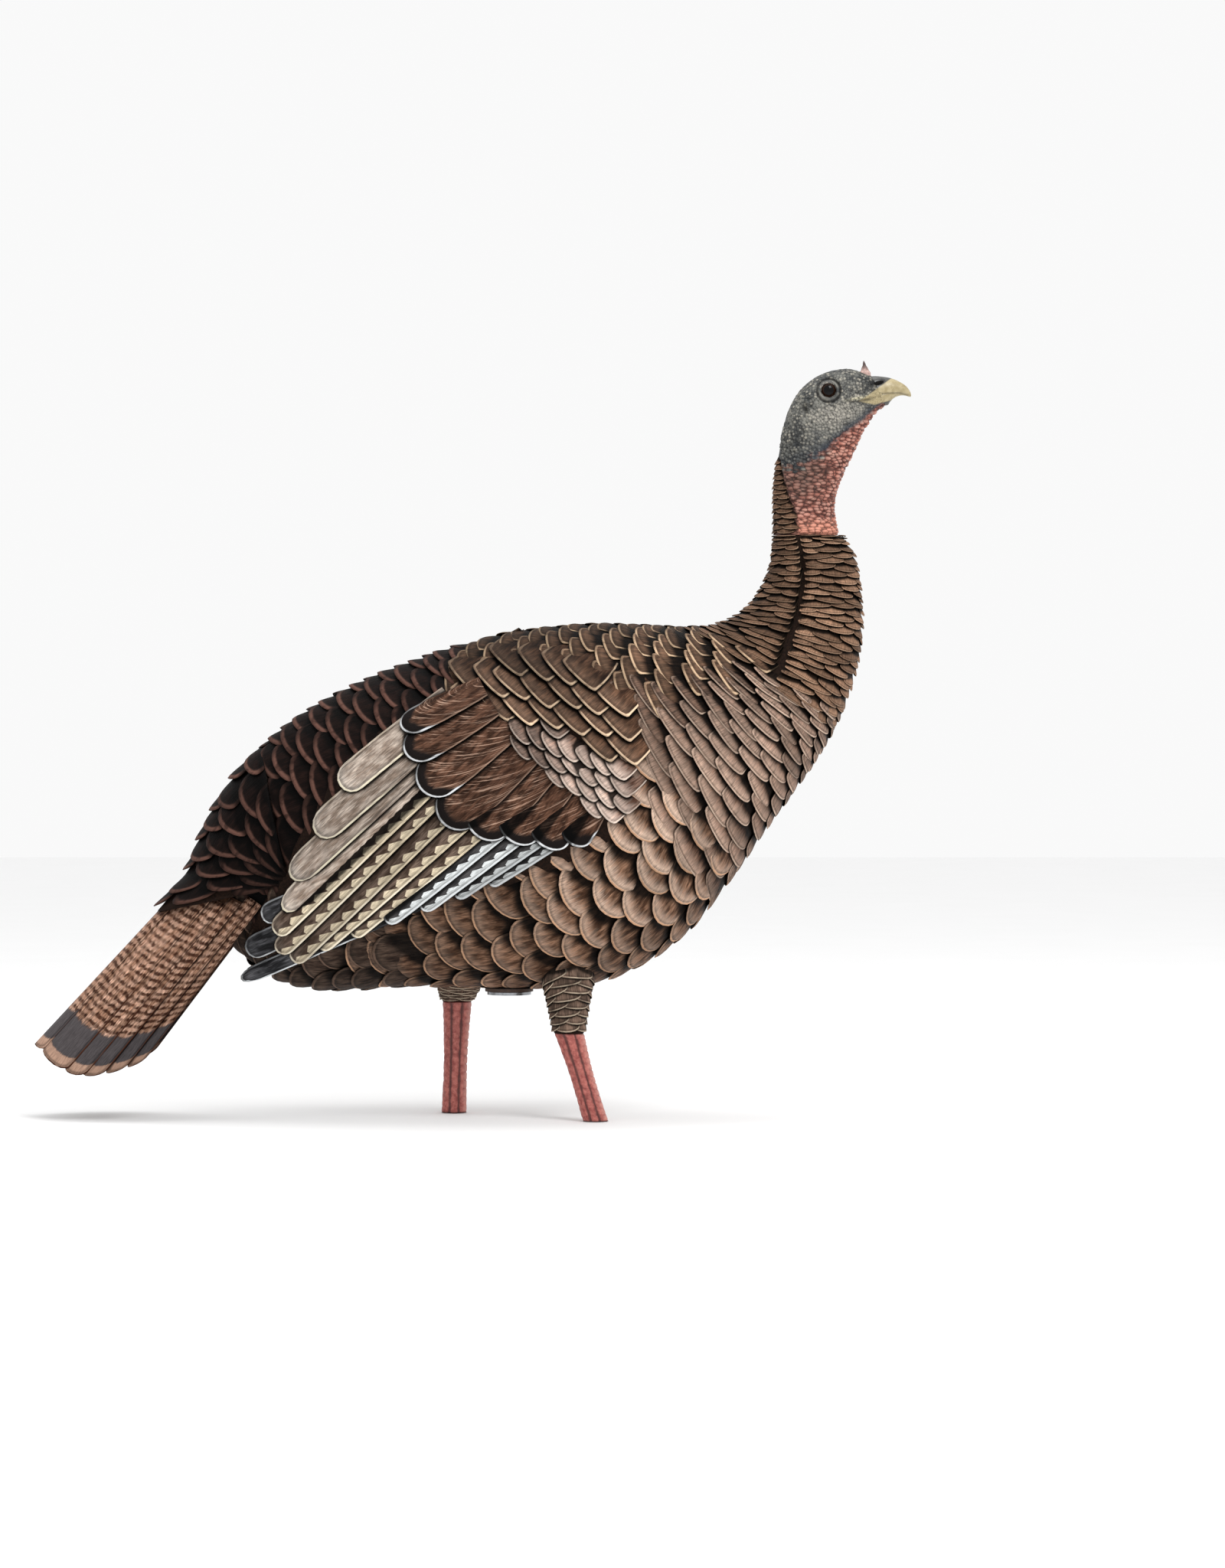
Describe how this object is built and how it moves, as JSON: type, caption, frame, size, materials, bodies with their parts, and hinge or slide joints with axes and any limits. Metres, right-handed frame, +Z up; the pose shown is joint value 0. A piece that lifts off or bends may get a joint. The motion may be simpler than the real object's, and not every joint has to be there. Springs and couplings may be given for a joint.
{
  "type": "turkey hen decoy",
  "caption": "Life-size standing wild turkey hen decoy with a hollow body, folded wings, closed tail, turning head and a swivel socket in the belly for a ground stake.",
  "frame": {"origin": "centre of the stake bore's mouth, under the belly", "axes": "+X towards the beak, +Y to the bird's left, +Z up along the stake bore"},
  "size_m": [0.7996, 0.2316, 0.69],
  "materials": {
    "painted_feathers": "satin",
    "rump_feathers": "satin",
    "wing_feathers": "satin",
    "tail_feathers": "satin",
    "head_skin": "satin",
    "shank_skin": "satin",
    "horn": "satin",
    "eye": "gloss",
    "nylon": "satin",
    "black_plastic": "matte",
    "steel": "brushed",
    "rubber": "matte"
  },
  "bodies": {
    "hub": {"swivel_sleeve": "steel", "limiter_pin": "steel"},
    "body": {"belly_collar": "black_plastic", "collar_gasket": "rubber", "collar_nut": "black_plastic", "stake_tube": "black_plastic", "lower_bush": "nylon", "upper_bush": "nylon", "pivot_cup": "nylon", "back_pad": "black_plastic", "body_shell_left": "painted_feathers", "body_shell_right": "painted_feathers", "seam_dowels": "nylon", "neck_plate": "black_plastic", "neck_socket": "nylon", "wing_left": "wing_feathers", "wing_right": "wing_feathers", "wing_push_nuts": "steel", "thigh_left": "painted_feathers", "thigh_right": "painted_feathers", "shank_left": "shank_skin", "shank_right": "shank_skin", "leg_screws": "steel", "tail_coverts": "rump_feathers", "tail_fan": "tail_feathers", "tail_block": "black_plastic", "tail_nut": "steel", "tail_pin": "steel"},
    "head": {"head_shell": "head_skin", "head_base": "black_plastic", "neck_spigot": "black_plastic", "spigot_oring": "rubber", "spigot_clip": "steel", "eye_left": "eye", "eye_right": "eye", "beak": "horn", "snood": "head_skin"}
  },
  "joints": [
    {"name": "body_swivel", "type": "hinge", "parent": "hub", "child": "body", "pos_m": [0, 0, 0.1], "axis": [0, 0, 1], "range_deg": [-40, 40]},
    {"name": "head_swivel", "type": "hinge", "parent": "body", "child": "head", "pos_m": [0.272, 0, 0.41], "axis": [0, 0, 1], "range_deg": [-80, 80]}
  ]
}
